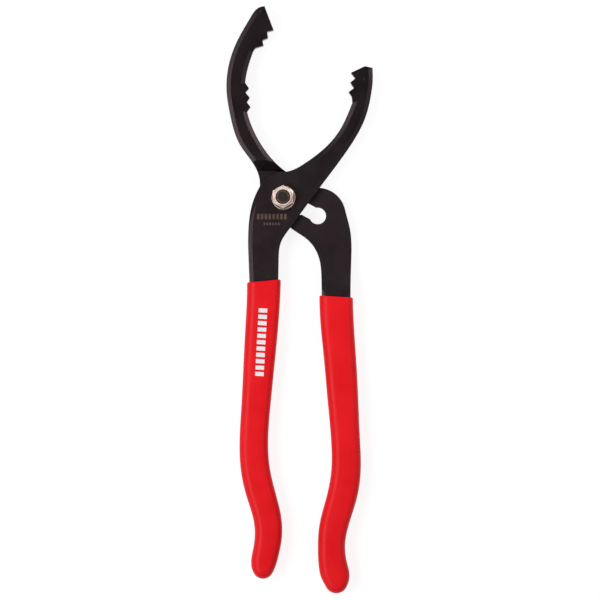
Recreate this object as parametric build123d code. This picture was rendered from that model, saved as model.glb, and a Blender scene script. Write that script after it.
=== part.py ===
from build123d import *
import math
import os

# Slip-joint oil filter pliers, lying flat. Millimetres.
# The origin is on the pivot axis, at the flat face of the bolt head that the tool lies on.
# +X is to the right, +Y towards the jaws, +Z up through the pivot bolt to its nut.
# The back half is the left jaw, the slotted plate and the right handle.
# The front half is the right jaw, the pivot plate and the left handle.

# ---- Levels, from the bench up ----
HEAD_HEIGHT = 1.6                 # bolt head, and the vinyl under each handle
STEEL_THICKNESS = 9.5             # jaws and handles, and both lapped plates together
LAP_GAP = 0.10                    # running gap between the lapped faces
SEAT_GAP = 0.05                   # running gap under the bolt head and under the washer
BACK_Z = HEAD_HEIGHT
LAP_Z = BACK_Z + STEEL_THICKNESS / 2
FRONT_Z = BACK_Z + STEEL_THICKNESS
SPARE = 1.0                       # how far a cutting tool stands out of what it cuts
TOOL_REACH = 60                   # in X, past both sides of the tool

# ---- Pivot bolt, washer and lock nut ----
HEAD_DIAMETER = 15.0
HEAD_RADIUS = 0.7                 # of its outer rim
SHANK_DIAMETER = 8.8
SHANK_FLATS = 6.9                 # across the two flats that pass the neck of the slot
THREAD_DIAMETER = 7.8
THREAD_CHAMFER = 1.0
THREAD_SINK = 0.15                # how far the bolt's end stops short of the nut's top
THREAD_GAP = 0.02                 # radial, between the thread and the nut's bore
WASHER_DIAMETER = 12.7
WASHER_BORE = 8.9
WASHER_THICKNESS = 1.2
WASHER_RADIUS = 0.3               # of its rims
WASHER_SHIFT = (0.28, -0.40)      # a loose washer lies off centre
NUT_ACROSS_FLATS = 10.9
NUT_HEX_HEIGHT = 4.6
NUT_CHAMFER_ANGLE = 30
NUT_FACE_INSET = 0.25             # from the flats to the round top face
COLLAR_DIAMETER = 9.6
COLLAR_HEIGHT = 1.4
COLLAR_RADIUS = 0.55
COLLAR_LIP = 0.35                 # rolled lip that holds the insert down
INSERT_DIAMETER = 8.9
INSERT_HEIGHT = 1.7

# ---- Slot in the back half ----
SLOT_ANGLE = -28.3                # of the slot's run, from +X
SLOT_TRAVEL = 21.1                # from the first to the last seat
SLOT_SEATS = 3
SEAT_DIAMETER = 8.9
NECK_WIDTH = 7.0

# ---- Forging ----
BEVEL_WIDTH = 2.2                 # of the bars' front edges, across the face
BEVEL_DEPTH = 1.0                 # and down the side
EDGE_RADIUS = 1.9                 # of the bars' rounded back edges
TOOTH_CREST = 0.35                # rounding of each tooth's crest
SHOULDER_RADIUS = 15.1            # of the slotted plate, about the last seat
FRONT_PLATE_RADIUS = 13.6         # of the pivot plate, about the bolt
BACK_PLATE_RADIUS = 12.8
RAMP_RUN = 5.8                    # of each slope, from lap face to jaw face
BACK_HANDLE_RUN = 24.0            # the back handle rises gently to full thickness
BACK_JAW_FOOT = 13.9              # Y of each slope's foot
FRONT_JAW_FOOT = 23.0
FRONT_HANDLE_FOOT = -24.0
BACK_HANDLE_FOOT = -32.0
RISE_TOP = 0.05                   # how far the gentle rise's cut ends above the handle's face

# ---- Where the front half's bevel is left out ----
PLATE_PATCH = ((-25, -20), (-6, -20), (-3, -12), (13, 9), (25, 22), (33, 33), (-25, 33))
PLATE_PATCH_SPAN = (-18, 32)      # in Y
PLATE_RUN_OUT = 14                # over which the bevel fades at each end of the span
JAW_TIP_PATCH = ((36, 60), (45.7, 60), (45.7, 74), (36, 74))
JAW_TIP_PATCH_SPAN = (62, 74)
JAW_TIP_RUN_OUT = 2

# ---- Dipped grips ----
VINYL_SIDE = 1.35
GRIP_EDGE_RADIUS = 4.2
LEFT_MOUTH = Pos(-10.2, -44.85, 0) * Rot(0, 0, 5.2)
RIGHT_MOUTH = Pos(28.5, -53.2, 0) * Rot(0, 0, -3.6)
MOUTH_CUTTER = (200, 120, 40)     # takes away all that lies beyond a mouth line
SKIN_STEP = 6.0                   # between the points that set a grip's outline

STANDING = (Align.CENTER, Align.CENTER, Align.MIN)
slot_run = Vector(1, 0, 0).rotate(Axis.Z, SLOT_ANGLE)
last_seat = slot_run * SLOT_TRAVEL


# ---------------------------------------------------------------- helpers
def prism(face, low, high):
    """The flat face, drawn at Z = 0, as a solid from low to high."""
    return extrude(Pos(0, 0, low) * face, amount=high - low)


def side_line(points, close=False):
    """Straight lines through (Y, Z) points, drawn at the left of the tool."""
    return Polyline(*[(-TOOL_REACH, y, z) for y, z in points], close=close)


def side_prism(profile):
    """A solid with this side profile that runs along X, right across the tool."""
    return extrude(make_face(profile), amount=2 * TOOL_REACH, dir=(1, 0, 0))


def round_long_edges(solid, radius, levels):
    """Rounds every curved edge that lies wholly at one of the Z levels."""
    curved = solid.edges().filter_by(GeomType.LINE, reverse=True)
    rim = [edge for edge in curved if lies_at(edge, levels)]
    return fillet(rim, radius)


def bevel_rim(solid, level):
    """Bevels the whole outline at a Z level, wide on the face and shallow down the side."""
    face = solid.faces().filter_by(lambda f: lies_at(f, (level,)))[0]
    return chamfer(face.edges(), BEVEL_WIDTH, BEVEL_DEPTH, reference=face)


def square_edged(outline, corners, span, run):
    """Fills the front bevel back up inside the corners, along a span of Y, with a run-out at both ends."""
    first, last = span
    area = outline & make_face(Polyline(*corners, close=True))
    foot = FRONT_Z - BEVEL_DEPTH
    roof = side_line(
        [(first, foot - SPARE), (first, foot), (first + run, FRONT_Z), (last - run, FRONT_Z),
         (last, foot), (last, foot - SPARE)],
        close=True,
    )
    return prism(area, foot - SPARE, FRONT_Z) & side_prism(roof)


def lies_at(shape, levels):
    """Whether an edge or face is flat at one of the Z levels."""
    box = shape.bounding_box()
    return any(abs(box.min.Z - z) < 1e-4 and abs(box.max.Z - z) < 1e-4 for z in levels)


def tooth_pad(crests_and_roots, back, low, high):
    """A toothed block: its cut side, crests rounded a little, and its buried back."""
    outline = Polyline(*crests_and_roots, *back, close=True)
    cut = {(round(x, 3), round(y, 3)) for x, y in crests_and_roots[1:-1]}
    face = make_face(outline)
    crests = [v for v in face.vertices() if (round(v.X, 3), round(v.Y, 3)) in cut]
    return prism(fillet(crests, TOOTH_CREST), low, high)


# ---------------------------------------------------------------- outlines
def heading(degrees):
    """Unit vector in the plane of the tool, at an angle from +X."""
    return Vector(1, 0, 0).rotate(Axis.Z, degrees)


def curve(*points, ends):
    """A smooth curve through the points, with its heading given at each end."""
    return Spline(*points, tangents=ends, tangent_scalars=[1, 1])


def front_outline():
    """Right jaw, pivot plate and left handle, and the edges of the handle alone."""
    plate = CenterArc((0, 0), FRONT_PLATE_RADIUS, 84, 66)
    handle_end = ThreePointArc((-14.2, -201.3), (-10.5, -203.1), (-7.1, -201.2))
    outer_handle = curve(
        plate @ 1, (-15.9, -1.9), (-18.15, -12.6), (-18.7, -24.0), (-18.0, -45.0), (-19.3, -77.0),
        (-20.9, -110.0), (-22.0, -132.0), (-21.55, -144.0), (-18.1, -160.6), (-14.8, -171.5),
        (-13.8, -181.0), (-15.1, -190.5), (-15.7, -197.5), handle_end @ 0,
        ends=[plate % 1, handle_end % 0],
    )
    inner_handle = curve(
        handle_end @ 1, (-4.0, -193.2), (-1.9, -182.5), (-2.15, -172.0), (-5.2, -159.0),
        (-8.6, -143.5), (-9.25, -133.0), (-7.85, -110.0), (-4.75, -79.0), (-2.65, -50.0),
        (-2.35, -33.5), (-1.0, -23.9), (3.8, -16.5),
        ends=[handle_end % 1, heading(54)],
    )
    outer_jaw = curve(
        inner_handle @ 1, (20.8, 6.6), (36.35, 27.9), (44.1, 42.5), (47.35, 56.0), (48.1, 64.0),
        (47.9, 69.2),
        ends=[heading(54), heading(93)],
    )
    tip = Line(outer_jaw @ 1, (43.8, 70.0))
    inner_jaw = curve(
        tip @ 1, (40.6, 62.0), (38.7, 55.0), (36.15, 48.0), (31.65, 38.0), (23.7, 27.5),
        (12.2, 18.4), plate @ 0,
        ends=[heading(252), heading(186)],
    )
    handle = [outer_handle, handle_end, inner_handle]
    return make_face([plate, *handle, outer_jaw, tip, inner_jaw]), handle


def back_outline():
    """Left jaw, slotted plate and right handle, and the edges of the handle alone."""
    tip = (-9.7, 102.1)
    outer_jaw = curve(
        tip, (-12.6, 101.6), (-17.6, 95.9), (-25.1, 82.4), (-29.5, 68.5), (-30.3, 58.5), (-28.2, 43.4),
        (-22.95, 27.8), (-14.95, 16.3), (-12.5, 9.0), (-12.4, 3.5),
        ends=[heading(176), heading(270)],
    )
    plate = JernArc(outer_jaw @ 1, outer_jaw % 1, BACK_PLATE_RADIUS, 62)
    handle_end = ThreePointArc((24.2, -208.3), (28.3, -210.9), (32.9, -208.2))
    inner_handle = curve(
        plate @ 1, (4.4, -16.7), (13.3, -22.9), (19.1, -32.0), (20.6, -44.0), (21.15, -65.0),
        (22.95, -84.0), (25.1, -108.0), (27.1, -131.0), (27.1, -147.0), (24.4, -161.5),
        (20.75, -176.0), (20.0, -190.0), (21.5, -203.0), (22.6, -205.8), handle_end @ 0,
        ends=[plate % 1, handle_end % 0],
    )
    shoulder = CenterArc((last_seat.X, last_seat.Y), SHOULDER_RADIUS, 12, 72)
    outer_handle = curve(
        handle_end @ 1, (34.15, -205.4), (34.35, -202.8), (33.1, -196.5), (31.9, -187.0), (33.9, -175.5),
        (38.5, -160.2), (40.4, -145.0), (39.85, -128.0), (38.6, -99.0), (37.15, -76.0),
        (36.15, -52.0), (36.6, -34.0), (35.8, -16.5), shoulder @ 0,
        ends=[handle_end % 1, shoulder % 0],
    )
    inner_jaw = curve(
        shoulder @ 1, (9.0, 9.4), (0.1, 14.75), (-9.65, 25.1), (-16.0, 36.2), (-19.3, 46.0),
        (-20.5, 56.0), (-19.6, 66.0), (-16.3, 77.2), (-12.6, 88.0), tip,
        ends=[shoulder % 1, heading(78)],
    )
    handle = [inner_handle, handle_end, outer_handle]
    return make_face([outer_jaw, plate, *handle, shoulder, inner_jaw]), handle


def moved_out(edge, distance):
    """A copy of an outline's edge, moved out square to itself. Outlines run anticlockwise."""
    steps = max(6, round(edge.length / SKIN_STEP))
    points = []
    for step in range(steps + 1):
        outward = (edge % (step / steps)).rotate(Axis.Z, -90)
        points.append(edge @ (step / steps) + outward * distance)
    return curve(*points, ends=[edge % 0, edge % 1])


def grip_outline(handle):
    """The vinyl's outline around a handle, closed straight across the pivot."""
    skin = [moved_out(edge, VINYL_SIDE) for edge in handle]
    return make_face([*skin, Line(skin[-1] @ 1, skin[0] @ 0)])


# ---------------------------------------------------------------- steel halves
def make_front_half(outline):
    """One forging, relieved at the back where the other half passes behind it."""
    bar = prism(outline, BACK_Z, FRONT_Z)
    bar = bevel_rim(bar, FRONT_Z)
    bar = round_long_edges(bar, EDGE_RADIUS, (BACK_Z,))
    bar += square_edged(outline, PLATE_PATCH, PLATE_PATCH_SPAN, PLATE_RUN_OUT)
    bar += square_edged(outline, JAW_TIP_PATCH, JAW_TIP_PATCH_SPAN, JAW_TIP_RUN_OUT)
    teeth = tooth_pad(
        [(37.2, 50.4), (36.8, 53.8), (35.1, 56.2), (38.0, 58.3), (36.0, 61.3), (38.7, 63.5),
         (36.3, 66.5), (43.8, 70.0)],
        [(43.6, 66.0), (41.2, 51.2)],
        BACK_Z, FRONT_Z,
    )
    bar += teeth
    face = LAP_Z + LAP_GAP / 2
    rise = face - BACK_Z
    run = RAMP_RUN * (rise + SPARE) / rise
    recess = side_prism(side_line(
        [(FRONT_JAW_FOOT, face), (FRONT_JAW_FOOT + run, BACK_Z - SPARE),
         (FRONT_HANDLE_FOOT - run, BACK_Z - SPARE), (FRONT_HANDLE_FOOT, face)],
        close=True,
    ))
    bar -= recess
    bar -= prism(Circle(SEAT_DIAMETER / 2).face(), BACK_Z - SPARE, FRONT_Z + SPARE)
    return bar


def slot_face():
    """Round seats on one line, joined by a neck."""
    shape = Pos(SLOT_TRAVEL / 2, 0) * Rectangle(SLOT_TRAVEL, NECK_WIDTH)
    for seat in range(SLOT_SEATS):
        shape += Pos(seat * SLOT_TRAVEL / (SLOT_SEATS - 1), 0) * Circle(SEAT_DIAMETER / 2)
    return (Rot(0, 0, SLOT_ANGLE) * shape).face()


def make_back_half(outline):
    """One forging, cut down to a plate at the front, with the slot through the plate."""
    bar = prism(outline, BACK_Z, FRONT_Z)
    bar = bevel_rim(bar, FRONT_Z)
    bar = round_long_edges(bar, EDGE_RADIUS, (BACK_Z,))
    tip_teeth = tooth_pad(
        [(-9.8, 101.8), (-5.0, 89.3), (-8.5, 88.5), (-8.0, 85.1), (-11.0, 83.9), (-10.4, 81.0),
         (-14.7, 79.8), (-16.6, 77.4)],
        [(-20.0, 79.0), (-14.0, 96.0)],
        BACK_Z, FRONT_Z,
    )
    low_teeth = tooth_pad(
        [(-20.3, 61.2), (-18.2, 58.2), (-20.1, 56.0), (-17.8, 53.2), (-19.4, 50.8), (-17.4, 48.2),
         (-19.3, 45.6)],
        [(-23.5, 46.5), (-24.2, 60.5)],
        BACK_Z, FRONT_Z,
    )
    bar += tip_teeth
    bar += low_teeth
    face = LAP_Z - LAP_GAP / 2
    rise = FRONT_Z - face
    jaw_run = RAMP_RUN * (rise + SPARE) / rise
    rise_end = BACK_HANDLE_FOOT - BACK_HANDLE_RUN
    walls = side_line(
        [(BACK_HANDLE_FOOT, face), (BACK_JAW_FOOT, face), (BACK_JAW_FOOT + jaw_run, FRONT_Z + SPARE),
         (rise_end, FRONT_Z + SPARE), (rise_end, FRONT_Z + RISE_TOP)],
    )
    gentle_rise = Spline(walls @ 1, walls @ 0, tangents=[(0, 1, 0), (0, 1, 0)])
    recess = side_prism([walls, gentle_rise])
    bar -= recess
    bar -= prism(slot_face(), BACK_Z - SPARE, FRONT_Z + SPARE)
    return bar


# ---------------------------------------------------------------- grips
def make_grip(handle, mouth, steel):
    """Vinyl around a handle, from its mouth line down."""
    skin = prism(grip_outline(handle), 0, 2 * LAP_Z)
    skin = round_long_edges(skin, GRIP_EDGE_RADIUS, (0, 2 * LAP_Z))
    skin -= mouth * Box(*MOUTH_CUTTER, align=(Align.CENTER, Align.MIN, Align.CENTER))
    return skin - steel


# ---------------------------------------------------------------- pivot hardware
def make_bolt():
    """Low round head, shank with two flats in line with the slot, threaded end."""
    shoulder_z = HEAD_HEIGHT - SEAT_GAP
    head = Cylinder(HEAD_DIAMETER / 2, shoulder_z, align=STANDING)
    head = fillet(head.edges().sort_by(Axis.Z)[0], HEAD_RADIUS)
    flats = Rot(0, 0, SLOT_ANGLE) * Rectangle(HEAD_DIAMETER, SHANK_FLATS)
    shank = prism((Circle(SHANK_DIAMETER / 2) & flats).face(), shoulder_z, FRONT_Z)
    end_z = nut_top() - THREAD_SINK
    thread = Pos(0, 0, FRONT_Z) * Cylinder(THREAD_DIAMETER / 2, end_z - FRONT_Z, align=STANDING)
    thread = chamfer(thread.edges().sort_by(Axis.Z)[-1], THREAD_CHAMFER)
    return head + shank + thread


def nut_seat():
    return FRONT_Z + SEAT_GAP + WASHER_THICKNESS


def nut_top():
    return nut_seat() + NUT_HEX_HEIGHT + COLLAR_HEIGHT


def make_washer():
    """Flat washer, a little off centre on the thread."""
    disc = Circle(WASHER_DIAMETER / 2) - Circle(WASHER_BORE / 2)
    low = FRONT_Z + SEAT_GAP
    washer = prism(disc.face(), low, low + WASHER_THICKNESS)
    rims = washer.edges().filter_by(GeomType.CIRCLE).group_by(SortBy.RADIUS)[-1]
    washer = fillet(rims, WASHER_RADIUS)
    return Pos(*WASHER_SHIFT, 0) * washer


def nut_envelope(low, hex_top):
    """A turned blank whose cone takes the top corners off the hexagon."""
    flat_radius = NUT_ACROSS_FLATS / 2
    corner = flat_radius / math.cos(math.radians(30)) + SPARE
    cone_top = flat_radius - NUT_FACE_INSET
    drop = (corner - cone_top) * math.tan(math.radians(NUT_CHAMFER_ANGLE))
    half = make_face(Polyline(
        (0, low - SPARE), (corner, low - SPARE), (corner, hex_top - drop), (cone_top, hex_top),
        (0, hex_top), close=True
    ))
    return revolve(Rot(90, 0, 0) * half, Axis.Z)


def make_nut():
    low = nut_seat()
    hex_top = low + NUT_HEX_HEIGHT
    hexagon = RegularPolygon(NUT_ACROSS_FLATS / 2, 6, major_radius=False, rotation=30)
    nut = prism(hexagon.face(), low, hex_top) & nut_envelope(low, hex_top)
    collar = Pos(0, 0, hex_top) * Cylinder(COLLAR_DIAMETER / 2, COLLAR_HEIGHT, align=STANDING)
    nut += fillet(collar.edges().sort_by(Axis.Z)[-1], COLLAR_RADIUS)
    bore = Circle(THREAD_DIAMETER / 2 + THREAD_GAP).face()
    nut -= prism(bore, low - SPARE, nut_top() + SPARE)
    pocket_top = nut_top() - COLLAR_LIP
    nut -= prism(Circle(INSERT_DIAMETER / 2).face(), pocket_top - INSERT_HEIGHT, pocket_top)
    return nut


def make_insert():
    """Locking ring, held in the collar's pocket."""
    ring = Circle(INSERT_DIAMETER / 2) - Circle(THREAD_DIAMETER / 2 + THREAD_GAP)
    top = nut_top() - COLLAR_LIP
    return prism(ring.face(), top - INSERT_HEIGHT, top)


# ---------------------------------------------------------------- the whole tool
front_shape, left_handle = front_outline()
back_shape, right_handle = back_outline()
front_half = make_front_half(front_shape)
back_half = make_back_half(back_shape)
parts = {
    "front_half": front_half,
    "back_half": back_half,
    "left_grip": make_grip(left_handle, LEFT_MOUTH, front_half),
    "right_grip": make_grip(right_handle, RIGHT_MOUTH, back_half),
    "pivot_bolt": make_bolt(),
    "pivot_washer": make_washer(),
    "lock_nut": make_nut(),
    "nut_insert": make_insert(),
}

os.makedirs("parts", exist_ok=True)
for name, shape in parts.items():
    export_step(shape, f"parts/{name}.step")
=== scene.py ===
import math

import bmesh
import bpy
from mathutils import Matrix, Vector, noise
from mathutils.bvhtree import BVHTree


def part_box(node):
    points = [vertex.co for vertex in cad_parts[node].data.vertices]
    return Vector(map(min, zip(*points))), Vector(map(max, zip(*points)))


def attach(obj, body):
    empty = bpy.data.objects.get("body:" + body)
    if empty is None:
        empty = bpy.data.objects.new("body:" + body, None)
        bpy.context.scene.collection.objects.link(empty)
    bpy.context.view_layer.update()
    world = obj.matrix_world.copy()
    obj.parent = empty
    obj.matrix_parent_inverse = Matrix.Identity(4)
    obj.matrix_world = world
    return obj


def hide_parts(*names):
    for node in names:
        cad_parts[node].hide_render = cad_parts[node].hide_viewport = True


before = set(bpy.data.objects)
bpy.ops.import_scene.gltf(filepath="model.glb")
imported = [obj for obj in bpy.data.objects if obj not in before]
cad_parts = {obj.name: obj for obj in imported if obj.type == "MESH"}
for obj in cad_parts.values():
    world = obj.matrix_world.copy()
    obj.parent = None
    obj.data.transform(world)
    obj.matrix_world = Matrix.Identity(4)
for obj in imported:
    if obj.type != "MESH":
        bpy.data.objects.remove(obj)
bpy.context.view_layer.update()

MM = 0.001

# The camera looks straight down on the pliers from far away. Lengths are in metres.
VIEW_CENTRE = Vector((9.1, -55.1, 11.0)) * MM
VIEW_WIDTH = 321.0 * MM
VIEW_DISTANCE = 2.5
SENSOR_WIDTH = 36.0     # in millimetres, as Blender has it
CLIP_END = 20.0

# Vinyl sleeves. Lengths are in millimetres.
STATION_STEP = 1.5      # between rings along a sleeve
SMOOTHING_PASSES = 6    # over the middle line
AROUND = 80             # points in a ring
END_ROUND = 6.5         # from the centre of the rounded end to its tip
END_RINGS = 12
RIM_RADIUS = 0.9        # outside the mouth
RIM_INNER_RADIUS = 0.35
RIM_STEPS = 6
RIM_CLEAR = 0.3         # between the rim's rounding and the wall's first ring
RIM_PROBE = 0.08        # how far inside the mouth the shallowest rays start
MOUTH_CLEAR = 1.6       # how far inside the mouth the middle line is measured
MOUTH_BLEND = 18.0      # over which the rings turn to the mouth's tilt
CROWN_DROP = 0.70       # of the broad faces, from the middle to the sides
CROWN_POWER = 2.5
UNEVEN_DEPTH = 0.10
SLOW_WAVES = 75.0       # of the unevenness, per metre
QUICK_WAVES = 210.0
REACH = 20.0            # from outside a sleeve to its middle

# Rows of plain bars, in millimetres: where the row starts, its angle in degrees, the pitch, the
# number of bars, and the width and height of a bar.
ETCHED_ROWS = (
    ((-14.3, -10.5, 0), 0, 2.07, 8, 1.30, 2.9),
    ((-10.7, -14.4, 0), 0, 1.53, 6, 0.95, 1.3),
)
PRINTED_ROW = ((-10.6, -59.0, 0), -93.2, 3.4, 11, 2.2, 4.6)
BAR_BLUR = 0.12         # half the width of a bar's soft outline
ETCHED_ABOVE = 10.9     # the heights above which the rows are drawn
PRINTED_ABOVE = 6.0

# Colours, as linear red, green, blue and alpha.
WHITE = (1, 1, 1, 1)
OXIDE_DARK = (0.0047, 0.0032, 0.0038, 1)
OXIDE_LIGHT = (0.0066, 0.0046, 0.0053, 1)
OXIDE_SHADE = (0.001, 0.001, 0.001, 1)
OXIDE_WEAR_AND_HIGHLIGHT = (0.060, 0.050, 0.047, 1)
OXIDE_TINT = (1.0, 0.73, 0.79, 1)
ETCHED = (0.110, 0.070, 0.053, 1)
VINYL_DEEP = (0.83, 0.0080, 0.0130, 1)
VINYL_BRIGHT = (0.90, 0.0104, 0.0162, 1)
VINYL_SPECK = (0.58, 0.006, 0.012, 1)
VINYL_SIDE_SHADE = (0.60, 0.0065, 0.0130, 1)
PRINTED = (0.93, 0.89, 0.90, 1)
PLATE_LIGHT = (0.98, 0.79, 0.71, 1)
PLATE_DARK = (0.62, 0.44, 0.37, 1)
PLATE_SHADE = (0.045, 0.026, 0.020, 1)
BOLT_DARK = (0.035, 0.031, 0.031, 1)
BOLT_LIGHT = (0.060, 0.050, 0.047, 1)
BOLT_BARE = (0.27, 0.172, 0.135, 1)
NYLON_DARK = (0.060, 0.033, 0.021, 1)
NYLON_LIGHT = (0.130, 0.075, 0.050, 1)
FLOOR_DARK = (0.17, 0.17, 0.17, 1)
FLOOR_LIGHT = (0.20, 0.20, 0.20, 1)

# The floor, in metres.
FLOOR_HALF_WIDTH = 3.0
FLOOR_CELLS = 24
FLOOR_LEVEL = -0.05 * MM


# ---------------------------------------------------------------- node helpers

def add(tree, kind, inputs=None, **settings):
    """A new node with its settings and inputs. An input is a value or the socket that feeds it."""
    node = tree.nodes.new(kind)
    for key, value in settings.items():
        setattr(node, key, value)
    for key, value in (inputs or {}).items():
        if isinstance(value, bpy.types.NodeSocket):
            tree.links.new(value, node.inputs[key])
        else:
            node.inputs[key].default_value = value
    return node


def calc(tree, operation, a, b=0.0, clamp=False):
    """The result of one Math node."""
    inputs = {0: a, 1: b}
    return add(tree, "ShaderNodeMath", inputs, operation=operation, use_clamp=clamp).outputs[0]


def times(tree, first, *others):
    """The product of two or more values."""
    for other in others:
        first = calc(tree, "MULTIPLY", first, other)
    return first


def vector_math(tree, operation, inputs, output=0):
    """The result of one Vector Math node."""
    return add(tree, "ShaderNodeVectorMath", inputs, operation=operation).outputs[output]


def part(tree, vector, axis):
    """One of a vector's three numbers: axis 0, 1 or 2."""
    return add(tree, "ShaderNodeSeparateXYZ", {0: vector}).outputs[axis]


def spread(tree, value, low, high, new_low=0.0, new_high=1.0):
    """The value's stretch from low to high, carried over to another range and held there."""
    inputs = {0: value, 1: low, 2: high, 3: new_low, 4: new_high}
    return add(tree, "ShaderNodeMapRange", inputs, interpolation_type="SMOOTHSTEP").outputs[0]


def blend_colour(tree, factor, first, second):
    """A colour between two others."""
    inputs = {0: factor, 6: first, 7: second}
    return add(tree, "ShaderNodeMix", inputs, data_type="RGBA").outputs[2]


def grain(tree, place, size_mm, detail=3.0, stretch=(1.0, 1.0, 1.0)):
    """Noise from 0 to 1 whose features are about this size."""
    scaled = add(tree, "ShaderNodeMapping", {"Vector": place, "Scale": stretch}).outputs[0]
    scale = 1.0 / (size_mm * MM)
    inputs = {"Vector": scaled, "Scale": scale, "Detail": detail, "Roughness": 0.55}
    return add(tree, "ShaderNodeTexNoise", inputs).outputs["Fac"]


def bump(tree, height, depth_mm, normal=None):
    """A bump of this depth, laid over an earlier one if there is one."""
    inputs = {"Height": height, "Distance": depth_mm * MM, "Strength": 1.0}
    if normal is not None:
        inputs["Normal"] = normal
    return add(tree, "ShaderNodeBump", inputs).outputs[0]


def softened(tree, radius_mm):
    """The surface's normal with its edges rounded to this radius."""
    return add(tree, "ShaderNodeBevel", {"Radius": radius_mm * MM}, samples=6).outputs[0]


def crevices(tree, reach_mm, low, high):
    """1 deep in corners and 0 in the open. low and high are shares of the sky that is hidden."""
    inputs = {"Distance": reach_mm * MM}
    shaded = add(tree, "ShaderNodeAmbientOcclusion", inputs, samples=12).outputs["AO"]
    return spread(tree, calc(tree, "SUBTRACT", 1.0, shaded), low, high)


def edge_mask(tree, width_mm):
    """1 along edges and 0 on open faces."""
    rounded = softened(tree, width_mm)
    plain = add(tree, "ShaderNodeNewGeometry").outputs["Normal"]
    dot = vector_math(tree, "DOT_PRODUCT", {0: rounded, 1: plain}, "Value")
    return spread(tree, calc(tree, "SUBTRACT", 1.0, dot), 0.01, 0.12)


def new_material(name):
    """An empty node material: its tree, its shader and the object's own coordinates."""
    made = bpy.data.materials.new(name)
    made.use_nodes = True
    tree = made.node_tree
    shader = tree.nodes["Principled BSDF"]
    place = add(tree, "ShaderNodeTexCoord").outputs["Object"]
    return made, tree, shader, place


def feed(tree, shader, **sockets):
    """Sets or links the shader's sockets; an underscore in a name stands for a space."""
    for key, value in sockets.items():
        socket = shader.inputs[key.replace("_", " ")]
        if isinstance(value, bpy.types.NodeSocket):
            tree.links.new(value, socket)
        else:
            socket.default_value = value


# ---------------------------------------------------------------- materials

def turned(tree, place, origin_mm, degrees):
    """Millimetres along and across a line that starts at a point and runs at an angle."""
    moved = vector_math(tree, "SUBTRACT", {0: place, 1: Vector(origin_mm) * MM})
    angle = math.radians(degrees)
    forward = Vector((math.cos(angle), math.sin(angle), 0))
    sideways = Vector((-math.sin(angle), math.cos(angle), 0))
    return [
        vector_math(tree, "DOT_PRODUCT", {0: moved, 1: direction / MM}, "Value")
        for direction in (forward, sideways)
    ]


def within(tree, value, half_width):
    """1 where a value is below a half width and 0 above it, with a soft step."""
    return spread(tree, value, half_width - BAR_BLUR, half_width + BAR_BLUR, 1.0, 0.0)


def bar_row(tree, place, origin_mm, degrees, pitch, count, width, height):
    """A row of plain bars: 1 inside a bar."""
    along, across = turned(tree, place, origin_mm, degrees)
    phase = calc(tree, "PINGPONG", calc(tree, "SUBTRACT", along, pitch / 2), pitch / 2)
    inside = within(tree, phase, width / 2)
    middle = calc(tree, "ABSOLUTE", calc(tree, "SUBTRACT", along, pitch * count / 2))
    row = calc(tree, "LESS_THAN", middle, pitch * count / 2)
    tall = within(tree, calc(tree, "ABSOLUTE", across), height / 2)
    return times(tree, inside, row, tall)


def above(tree, place, height_mm):
    """1 where the surface lies above this height."""
    return calc(tree, "GREATER_THAN", part(tree, place, 2), height_mm * MM)


def black_oxide(name, etched=False):
    """Forged steel with a black oxide finish, darker and smoother at the jaws, smoother in corners,
    and with painted shade in corners.
    """
    made, tree, shader, place = new_material(name)
    cloud = grain(tree, place, 14.0, detail=4.0)
    pebble = grain(tree, place, 0.55, detail=2.0)
    forging = grain(tree, place, 5.0, detail=2.0)
    dust = grain(tree, place, 0.16, detail=1.0)
    jaws = spread(tree, part(tree, place, 1), 5 * MM, 45 * MM)
    corners = crevices(tree, 1.8, 0.20, 0.55)
    worn_spots = spread(tree, grain(tree, place, 2.2), 0.42, 0.62)
    edge_wear_and_highlight = calc(tree, "MULTIPLY", edge_mask(tree, 0.45), worn_spots, True)

    tone = blend_colour(tree, spread(tree, cloud, 0.35, 0.65), OXIDE_DARK, OXIDE_LIGHT)
    tone = blend_colour(tree, times(tree, jaws, 0.7), tone, OXIDE_SHADE)
    # Lighter edges: bare wear in patches, which also serves as a painted highlight along the edges.
    tone = blend_colour(tree, times(tree, edge_wear_and_highlight, 0.5), tone, OXIDE_WEAR_AND_HIGHLIGHT)
    # Painted shade: near black in corners and along steps, where nearby parts hide the light.
    tone = blend_colour(tree, times(tree, corners, 0.8), tone, OXIDE_SHADE)
    if etched:
        rows = [bar_row(tree, place, *row) for row in ETCHED_ROWS]
        mark = times(tree, calc(tree, "MAXIMUM", *rows), above(tree, place, ETCHED_ABOVE))
        fading = spread(tree, grain(tree, place, 6.0), 0.30, 0.60, 0.65, 1.0)
        tone = blend_colour(tree, times(tree, mark, fading), tone, ETCHED)

    rough = spread(tree, cloud, 0.3, 0.7, 0.36, 0.44)
    rough = calc(tree, "ADD", rough, times(tree, pebble, 0.06))
    rough = calc(tree, "SUBTRACT", rough, times(tree, jaws, 0.08))
    rough = calc(tree, "SUBTRACT", rough, times(tree, corners, 0.24))
    level = bump(tree, forging, 0.035, softened(tree, 0.3))
    level = bump(tree, pebble, 0.012, level)
    level = bump(tree, dust, 0.003, level)
    feed(tree, shader, Base_Color=tone, Roughness=rough, Normal=level)
    feed(tree, shader, Specular_IOR_Level=0.42, Specular_Tint=OXIDE_TINT)
    return made


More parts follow.
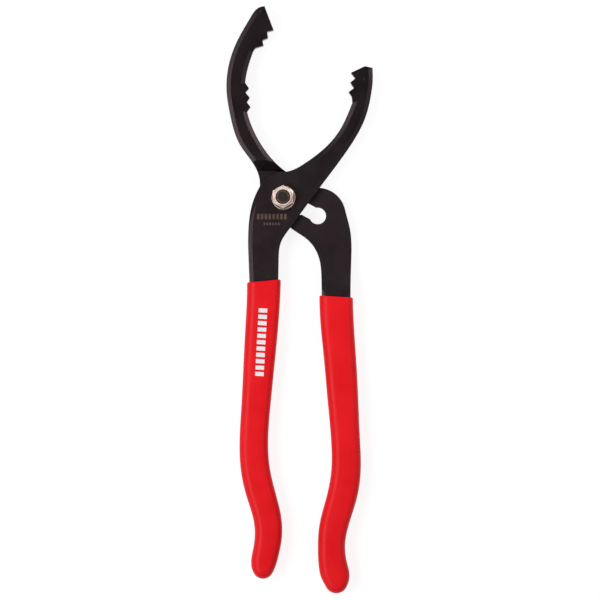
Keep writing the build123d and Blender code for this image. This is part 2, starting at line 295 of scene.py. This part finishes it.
def vinyl(name, printed=False):
    """Dipped red vinyl, with painted shade that makes the sides darker than the broad faces."""
    made, tree, shader, place = new_material(name)
    cloud = grain(tree, place, 22.0, detail=3.0)
    peel = grain(tree, place, 1.6, detail=2.0)
    dust = grain(tree, place, 0.22, detail=2.0)
    facing = part(tree, add(tree, "ShaderNodeTexCoord").outputs["Normal"], 2)
    painted_side_shade = spread(tree, calc(tree, "ABSOLUTE", facing), 0.25, 0.95, 0.55, 0.0)

    tone = blend_colour(tree, spread(tree, cloud, 0.3, 0.7), VINYL_DEEP, VINYL_BRIGHT)
    tone = blend_colour(tree, spread(tree, dust, 0.62, 0.80, 0.0, 0.25), tone, VINYL_SPECK)
    # Painted shade: the sides are darkened against the broad faces.
    tone = blend_colour(tree, painted_side_shade, tone, VINYL_SIDE_SHADE)
    if printed:
        mark = times(tree, bar_row(tree, place, *PRINTED_ROW), above(tree, place, PRINTED_ABOVE))
        fading = spread(tree, grain(tree, place, 0.5), 0.22, 0.34, 0.86, 1.0)
        tone = blend_colour(tree, times(tree, mark, fading), tone, PRINTED)

    rough = spread(tree, cloud, 0.3, 0.7, 0.32, 0.40)
    rough = calc(tree, "ADD", rough, times(tree, dust, 0.08))
    level = bump(tree, peel, 0.016)
    level = bump(tree, dust, 0.003, level)
    feed(tree, shader, Base_Color=tone, Roughness=rough, Normal=level, Specular_IOR_Level=0.13)
    return made


def plated(name, shade_reach, shade_start):
    """Plated steel with a warm tint and brown painted shade in the corners."""
    made, tree, shader, place = new_material(name)
    cloud = grain(tree, place, 3.0, detail=2.0)
    lines = grain(tree, place, 0.6, detail=1.0, stretch=(1.0, 1.0, 3.0))
    painted_corner_shade = crevices(tree, shade_reach, shade_start, shade_start + 0.30)
    tone = blend_colour(tree, spread(tree, cloud, 0.40, 0.72), PLATE_LIGHT, PLATE_DARK)
    # Painted shade: brown darkening in the corners, where nearby parts hide the light.
    tone = blend_colour(tree, painted_corner_shade, tone, PLATE_SHADE)
    rough = spread(tree, cloud, 0.3, 0.7, 0.32, 0.42)
    rough = calc(tree, "ADD", rough, times(tree, lines, 0.06))
    level = bump(tree, lines, 0.0008, softened(tree, 0.15))
    feed(tree, shader, Base_Color=tone, Roughness=rough, Normal=level, Metallic=0.35)
    return made


def bolt_steel(name):
    """Darkened bolt steel, bare and brown on the worn chamfer of its threaded end."""
    made, tree, shader, place = new_material(name)
    cloud = grain(tree, place, 2.6, detail=3.0)
    rings = grain(tree, place, 0.40, detail=2.0)
    flat = vector_math(tree, "MULTIPLY", {0: place, 1: (1, 1, 0)})
    radius = vector_math(tree, "LENGTH", {0: flat}, "Value")
    chamfer = times(tree, spread(tree, radius, 2.75 * MM, 3.05 * MM), above(tree, place, 16.0))
    bare = times(tree, chamfer, spread(tree, cloud, 0.2, 0.5, 0.6, 1.0))
    tone = blend_colour(tree, bare, blend_colour(tree, cloud, BOLT_DARK, BOLT_LIGHT), BOLT_BARE)
    rough = spread(tree, cloud, 0.3, 0.7, 0.34, 0.46)
    level = bump(tree, rings, 0.005, softened(tree, 0.12))
    feed(tree, shader, Base_Color=tone, Roughness=rough, Normal=level, Metallic=0.7)
    return made


def nylon(name):
    """The locking ring in the nut's collar, gone brown."""
    made, tree, shader, place = new_material(name)
    cloud = grain(tree, place, 1.2, detail=3.0)
    tone = blend_colour(tree, cloud, NYLON_DARK, NYLON_LIGHT)
    rough = spread(tree, cloud, 0.3, 0.7, 0.35, 0.5)
    feed(tree, shader, Base_Color=tone, Roughness=rough, Normal=bump(tree, cloud, 0.01))
    return made


# ---------------------------------------------------------------- vinyl sleeves

def skin(node):
    """A tree for casting rays at a CAD node's surface."""
    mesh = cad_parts[node].data
    corners = [vertex.co for vertex in mesh.vertices]
    return BVHTree.FromPolygons(corners, [tuple(face.vertices) for face in mesh.polygons])


def cast(tree, start, direction):
    """The point where a ray meets the surface."""
    hit = tree.ray_cast(start, direction)[0]
    if hit is None:
        raise ValueError(f"a ray from {tuple(start)} misses the sleeve")
    return hit


def middle_line(tree, node, mouth):
    """Points down the middle of a sleeve, from its mouth to the centre of its rounded end."""
    low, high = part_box(node)
    height = (low.z + high.z) / 2
    end = low.y + END_ROUND * MM
    count = int((mouth.y - end) / (STATION_STEP * MM))
    points = []
    for i in range(count + 1):
        y = mouth.y + (end - mouth.y) * i / count
        y_cast = min(y, mouth.y - MOUTH_CLEAR * MM)
        left = cast(tree, Vector((low.x - REACH * MM, y_cast, height)), Vector((1, 0, 0)))
        right = cast(tree, Vector((high.x + REACH * MM, y_cast, height)), Vector((-1, 0, 0)))
        points.append(Vector(((left.x + right.x) / 2, y, height)))
    for _ in range(SMOOTHING_PASSES):
        inner = [(points[i - 1] + points[i] * 2 + points[i + 1]) / 4 for i in range(1, count)]
        points = [points[0], *inner, points[-1]]
    return points


def unevenness(point):
    """How far the dipped surface sinks at a point, in metres."""
    slow = noise.noise(Vector((point.x, point.y * 0.6, point.z)) * SLOW_WAVES)
    quick = noise.noise(point * QUICK_WAVES)
    return UNEVEN_DEPTH * MM * (0.5 + 0.36 * slow + 0.14 * quick)


def crowned(point, centre, across, half_width, half_height):
    """A skin point brought nearer to mid-height, the more the nearer it is to a side."""
    share = min(1.0, abs((point - centre).dot(across)) / half_width)
    keep = 1.0 - CROWN_DROP * MM * share ** CROWN_POWER / half_height
    return Vector((point.x, point.y, centre.z + (point.z - centre.z) * keep))


def make_sleeve(name, node, mouth_mm, tilt_degrees):
    """A dipped sleeve with a rounded mouth, a wall of the CAD part's thickness and a closed end."""
    tree = skin(node)
    mouth = Vector(mouth_mm) * MM
    line = middle_line(tree, node, mouth)
    tilt = math.radians(tilt_degrees)
    mouth_side = Vector((math.cos(tilt), math.sin(tilt), 0))
    up = Vector((0, 0, 1))
    sections = []
    for i, centre in enumerate(line):
        ahead = line[min(i + 1, len(line) - 1)]
        behind = line[max(i - 1, 0)]
        forward = (ahead - behind).normalized()
        side = Vector((-forward.y, forward.x, 0))
        run = (mouth - centre).length / (MOUTH_BLEND * MM)
        share = max(0.0, 1.0 - run)
        share = share * share * (3 - 2 * share)
        side = (side * (1 - share) + mouth_side * share).normalized()
        sections.append((centre, side, Vector((side.y, -side.x, 0))))
    bm = bmesh.new()

    def ring(centre, across, forward, lean, inside, inset=0.0, shift=0.0):
        """Points round the sleeve at a centre, on its inner or outer skin."""
        verts = []
        edge = cast(tree, centre + across * REACH * MM, -across)
        half_width = (edge - centre).length
        for k in range(AROUND):
            angle = math.tau * k / AROUND
            flat = across * math.cos(angle) + up * math.sin(angle)
            direction = flat * math.cos(lean) + forward * math.sin(lean)
            if inside:
                point = cast(tree, centre, direction) + direction * inset
            else:
                point = cast(tree, centre + direction * REACH * MM, -direction)
                point -= direction * (unevenness(point) + inset)
                point = crowned(point, centre, across, half_width, centre.z)
            verts.append(bm.verts.new(point + forward * shift))
        return verts

    def face_band(first, second):
        """Faces between two rings."""
        for k in range(AROUND):
            n = (k + 1) % AROUND
            bm.faces.new((first[k], first[n], second[n], second[k]))

    def close_end(last, centre, forward, inside):
        """Faces from the last ring to the tip."""
        if inside:
            tip = cast(tree, centre, forward)
        else:
            tip = cast(tree, centre + forward * REACH * MM, -forward)
            tip -= forward * unevenness(tip)
        pole = bm.verts.new(tip)
        for k in range(AROUND):
            bm.faces.new((last[k], last[(k + 1) % AROUND], pole))

    def wall(inside):
        """One skin from below the rim to the tip. Returns its first ring."""
        rings = []
        for centre, side, forward in sections:
            if (centre - mouth).length < (RIM_RADIUS + RIM_CLEAR) * MM:
                continue
            rings.append(ring(centre, side, forward, 0.0, inside))
        centre, side, forward = sections[-1]
        for i in range(1, END_RINGS):
            rings.append(ring(centre, side, forward, math.pi / 2 * i / END_RINGS, inside))
        for first, second in zip(rings, rings[1:]):
            face_band(first, second)
        close_end(rings[-1], centre, forward, inside)
        return rings[0]

    def rim_ring(radius, step, inside):
        """One ring of the rounded rim: step 0 meets the wall, the last step meets the lip."""
        angle = math.pi / 2 * step / RIM_STEPS
        depth = radius * MM * (1 - math.sin(angle))
        inset = radius * MM * (1 - math.cos(angle))
        side, forward = sections[0][1], sections[0][2]
        probe = max(depth, RIM_PROBE * MM)
        centre = mouth + forward * probe
        return ring(centre, side, forward, 0.0, inside, inset, depth - probe)

    rims = {}
    for inside, radius in ((False, RIM_RADIUS), (True, RIM_INNER_RADIUS)):
        rings = [wall(inside)]
        rings += [rim_ring(radius, step, inside) for step in range(RIM_STEPS + 1)]
        for first, second in zip(rings, rings[1:]):
            face_band(first, second)
        rims[inside] = rings[-1]
    face_band(rims[False], rims[True])
    bmesh.ops.recalc_face_normals(bm, faces=bm.faces)
    mesh = bpy.data.meshes.new(name)
    bm.to_mesh(mesh)
    bm.free()
    mesh.polygons.foreach_set("use_smooth", [True] * len(mesh.polygons))
    made = bpy.data.objects.new(name, mesh)
    bpy.context.collection.objects.link(made)
    return made


# ---------------------------------------------------------------- the pliers

finishes = {
    "front_half": black_oxide("black_steel_marked", etched=True),
    "back_half": black_oxide("black_steel_finish"),
    "pivot_bolt": bolt_steel("dark_bolt_finish"),
    "pivot_washer": plated("washer_plating", 2.2, 0.12),
    "lock_nut": plated("nut_plating", 0.6, 0.40),
    "nut_insert": nylon("insert_nylon_finish"),
}
for name, finish in finishes.items():
    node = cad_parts[name]
    node.data.materials.clear()
    node.data.materials.append(finish)

# Name, CAD node, body, middle of the mouth in millimetres, tilt of the mouth, white row.
sleeves = (
    ("left_sleeve", "left_grip", "front", (-10.2, -44.85, 6.35), 5.2, True),
    ("right_sleeve", "right_grip", "back", (28.5, -53.2, 6.35), -3.6, False),
)
for name, node, body, mouth_mm, tilt_degrees, printed in sleeves:
    sleeve = make_sleeve(name, node, mouth_mm, tilt_degrees)
    sleeve.data.materials.append(vinyl(name + "_vinyl", printed))
    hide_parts(node)
    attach(sleeve, body)


# ---------------------------------------------------------------- floor, light and camera

def make_floor():
    """A wide pale table top that the pliers lie on, with a glow of its own so it looks white."""
    made, tree, shader, place = new_material("pale_floor")
    cloud = grain(tree, place, 400.0, detail=2.0)
    tone = blend_colour(tree, cloud, FLOOR_DARK, FLOOR_LIGHT)
    feed(tree, shader, Base_Color=tone, Roughness=0.9, Specular_IOR_Level=0.1)
    feed(tree, shader, Emission_Color=WHITE, Emission_Strength=0.87)
    bm = bmesh.new()
    cells = FLOOR_CELLS
    bmesh.ops.create_grid(bm, x_segments=cells, y_segments=cells, size=FLOOR_HALF_WIDTH)
    mesh = bpy.data.meshes.new("floor")
    bm.to_mesh(mesh)
    bm.free()
    mesh.materials.append(made)
    floor = bpy.data.objects.new("floor", mesh)
    floor.location = (0, 0, FLOOR_LEVEL)
    bpy.context.collection.objects.link(floor)


def softbox(name, place, aim, width, height, brightness):
    """A soft rectangular lamp. Brightness is what a mirror would show."""
    data = bpy.data.lights.new(name, "AREA")
    data.shape = "RECTANGLE"
    data.size, data.size_y = width, height
    data.energy = brightness * width * height * math.pi
    lamp = bpy.data.objects.new(name, data)
    lamp.location = place
    lamp.rotation_euler = (Vector(aim) - Vector(place)).to_track_quat("-Z", "Y").to_euler()
    lamp.visible_camera = False
    bpy.context.collection.objects.link(lamp)


def make_world():
    """A room that looks white where the camera sees past the floor.

    Its light comes mostly from halfway up the sky. It is dim straight overhead, which is what the
    flat black faces mirror, and dim towards the near end, the far end and the near right corner.
    """
    world = bpy.data.worlds.new("room")
    world.use_nodes = True
    tree = world.node_tree
    tree.nodes.clear()
    direction = add(tree, "ShaderNodeTexCoord").outputs["Generated"]
    east, north, up = add(tree, "ShaderNodeSeparateXYZ", {0: direction}).outputs
    low_sky = spread(tree, up, 0.20, 0.68, 0.14, 1.4)
    zenith = spread(tree, up, 0.80, 0.95, 1.0, 0.07)
    near_end = spread(tree, north, -0.80, -0.45, 0.04, 1.0)
    far_end = spread(tree, north, 0.05, 0.40, 1.0, 0.2)
    corner = spread(tree, calc(tree, "SUBTRACT", east, north), 0.15, 0.80, 1.0, 0.45)
    side = calc(tree, "ADD", times(tree, east, 0.40), 1.0)
    strength = times(tree, low_sky, zenith, near_end, side, corner, far_end)
    dim = add(tree, "ShaderNodeBackground", {0: WHITE, 1: strength}).outputs[0]
    pale = add(tree, "ShaderNodeBackground", {0: WHITE, 1: 0.95}).outputs[0]
    seen = add(tree, "ShaderNodeLightPath").outputs["Is Camera Ray"]
    mixed = add(tree, "ShaderNodeMixShader", {0: seen, 1: dim, 2: pale}).outputs[0]
    add(tree, "ShaderNodeOutputWorld", {0: mixed})
    bpy.context.scene.world = world


make_floor()
make_world()
# Name, place, aim, width and height in metres, brightness.
target = (0.0, -0.055, 0.0)
softbox("key_left", (-0.66, -0.02, 0.92), target, 1.2, 0.50, 4.3)
softbox("top_end", (0.10, 1.1, 0.50), target, 0.9, 0.40, 0.9)
softbox("jaw_side", (0.19, 0.18, 0.16), (0.0, 0.07, 0.0), 0.14, 0.14, 5.5)

camera_data = bpy.data.cameras.new("camera")
camera_data.sensor_width = SENSOR_WIDTH
camera_data.lens = SENSOR_WIDTH * VIEW_DISTANCE / VIEW_WIDTH
camera_data.clip_end = CLIP_END
camera = bpy.data.objects.new("camera", camera_data)
camera.location = VIEW_CENTRE + Vector((0, 0, VIEW_DISTANCE))
bpy.context.collection.objects.link(camera)
scene = bpy.context.scene
scene.camera = camera
scene.view_settings.view_transform = "Standard"
